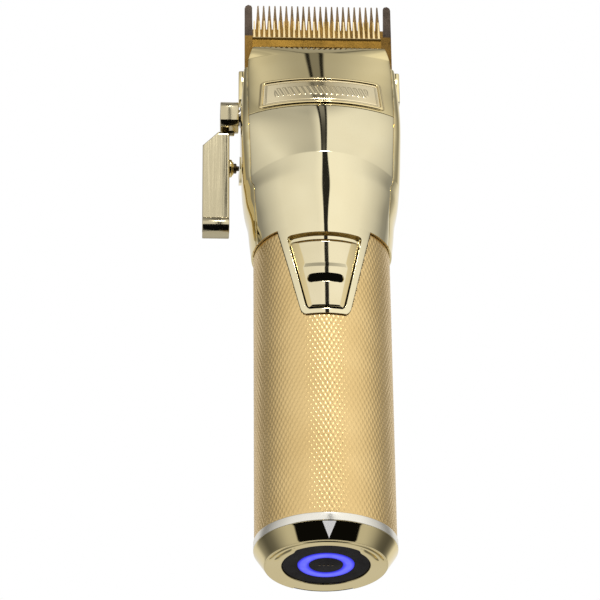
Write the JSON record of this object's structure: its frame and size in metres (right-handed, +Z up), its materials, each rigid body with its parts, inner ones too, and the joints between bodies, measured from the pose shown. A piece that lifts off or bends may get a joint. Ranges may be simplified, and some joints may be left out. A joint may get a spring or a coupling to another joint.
{
  "type": "hair clipper",
  "caption": "Cordless hair clipper with a knurled round grip, wide blade head, side taper lever, sliding power switch and a lit charging base.",
  "frame": {"origin": "centre of the flat base of the end cap", "axes": "+Z up the body from the base to the blade, -Y towards the switch side, -X towards the taper lever"},
  "size_m": [0.0593, 0.0417, 0.1897],
  "materials": {
    "gold_chrome": "polished plated gold",
    "gold_housing": "polished plated gold",
    "pale_gold": "polished pale gold",
    "satin_gold": "anodised satin gold, diamond knurl",
    "gold_plate": "satin gold",
    "trim_silver": "satin champagne",
    "white_mark": "white inlay",
    "black_plastic": "moulded matt black",
    "ring_light": "glowing violet-blue diffuser",
    "contact_gold": "plated contacts",
    "board_green": "solder-masked board",
    "screw_steel": "machined steel",
    "battery_wrap": "shrink-wrapped cell",
    "bare_steel": "machined steel",
    "spring_steel": "drawn wire",
    "wire_red": "insulated wire",
    "magnet_grey": "sintered magnet",
    "bush_bronze": "sintered bronze",
    "winding_copper": "copper winding",
    "blade_dark": "dark-coated ground steel",
    "blade_gold": "gold-brown coated ground steel"
  },
  "bodies": {
    "casing": {"end_cap": "gold_chrome", "index_mark": "white_mark", "trim_ring": "trim_silver", "dock_plate": "black_plastic", "light_ring": "ring_light", "charge_contacts": "contact_gold", "indicator_board": "board_green", "cap_screws": "screw_steel", "grip_sleeve": "satin_gold", "chassis_tube": "black_plastic", "battery_cell": "battery_wrap", "battery_cradle": "black_plastic", "battery_tabs": "contact_gold", "circuit_board": "board_green", "slide_switch": "bare_steel", "power_wires": "wire_red", "front_cover": "pale_gold", "switch_tray": "black_plastic", "rear_housing": "gold_housing", "housing_screws": "screw_steel", "nose_cover": "gold_chrome", "badge_frame": "pale_gold", "badge_plate": "gold_plate", "motor_cradle": "black_plastic", "motor_can": "bare_steel", "motor_magnets": "magnet_grey", "motor_end_cap": "black_plastic", "motor_bushes": "bush_bronze", "motor_terminals": "contact_gold", "motor_plate": "bare_steel", "motor_screws": "screw_steel", "blade_frame": "bare_steel", "frame_screws": "screw_steel", "still_blade": "blade_dark", "blade_screws": "screw_steel", "pivot_bush": "bare_steel"},
    "lever": {"taper_lever": "pale_gold", "lever_pivot": "bare_steel", "detent_bush": "pale_gold", "detent_spring": "spring_steel"},
    "detent": {"detent_pin": "bare_steel"},
    "carriage": {"taper_carriage": "black_plastic", "tension_springs": "spring_steel"},
    "cutter": {"cutter_blade": "blade_gold", "drive_yoke": "black_plastic", "yoke_screws": "screw_steel"},
    "rotor": {"motor_shaft": "bare_steel", "rotor_core": "winding_copper", "commutator": "winding_copper", "eccentric": "bare_steel"},
    "switch": {"power_switch": "pale_gold", "switch_knob": "black_plastic"}
  },
  "joints": [
    {"name": "lever_turn", "type": "hinge", "parent": "casing", "child": "lever", "pos_m": [-0.0268, 0, 0.1475], "axis": [1, 0, 0], "range_deg": [0, 45]},
    {"name": "detent_press", "type": "slide", "parent": "lever", "child": "detent", "axis": [-1, 0, 0], "range_m": [0, 0.0006], "stiffness_N_per_m": 400, "springref_m": -0.0006},
    {"name": "taper_slide", "type": "slide", "parent": "casing", "child": "carriage", "axis": [0, 0, -1], "range_m": [0, 0.0017]},
    {"name": "cutter_stroke", "type": "slide", "parent": "carriage", "child": "cutter", "axis": [1, 0, 0], "range_m": [-0.0012, 0.0012]},
    {"name": "motor_spin", "type": "hinge", "parent": "casing", "child": "rotor", "pos_m": [0, -0.004, 0.12], "axis": [0, 0, 1], "continuous": true},
    {"name": "switch_slide", "type": "slide", "parent": "casing", "child": "switch", "axis": [0, 0, 1], "range_m": [0, 0.0018]}
  ],
  "couplings": [
    {"joint": "taper_slide", "follows": "lever_turn", "m_per_rad": 0.002144}
  ]
}
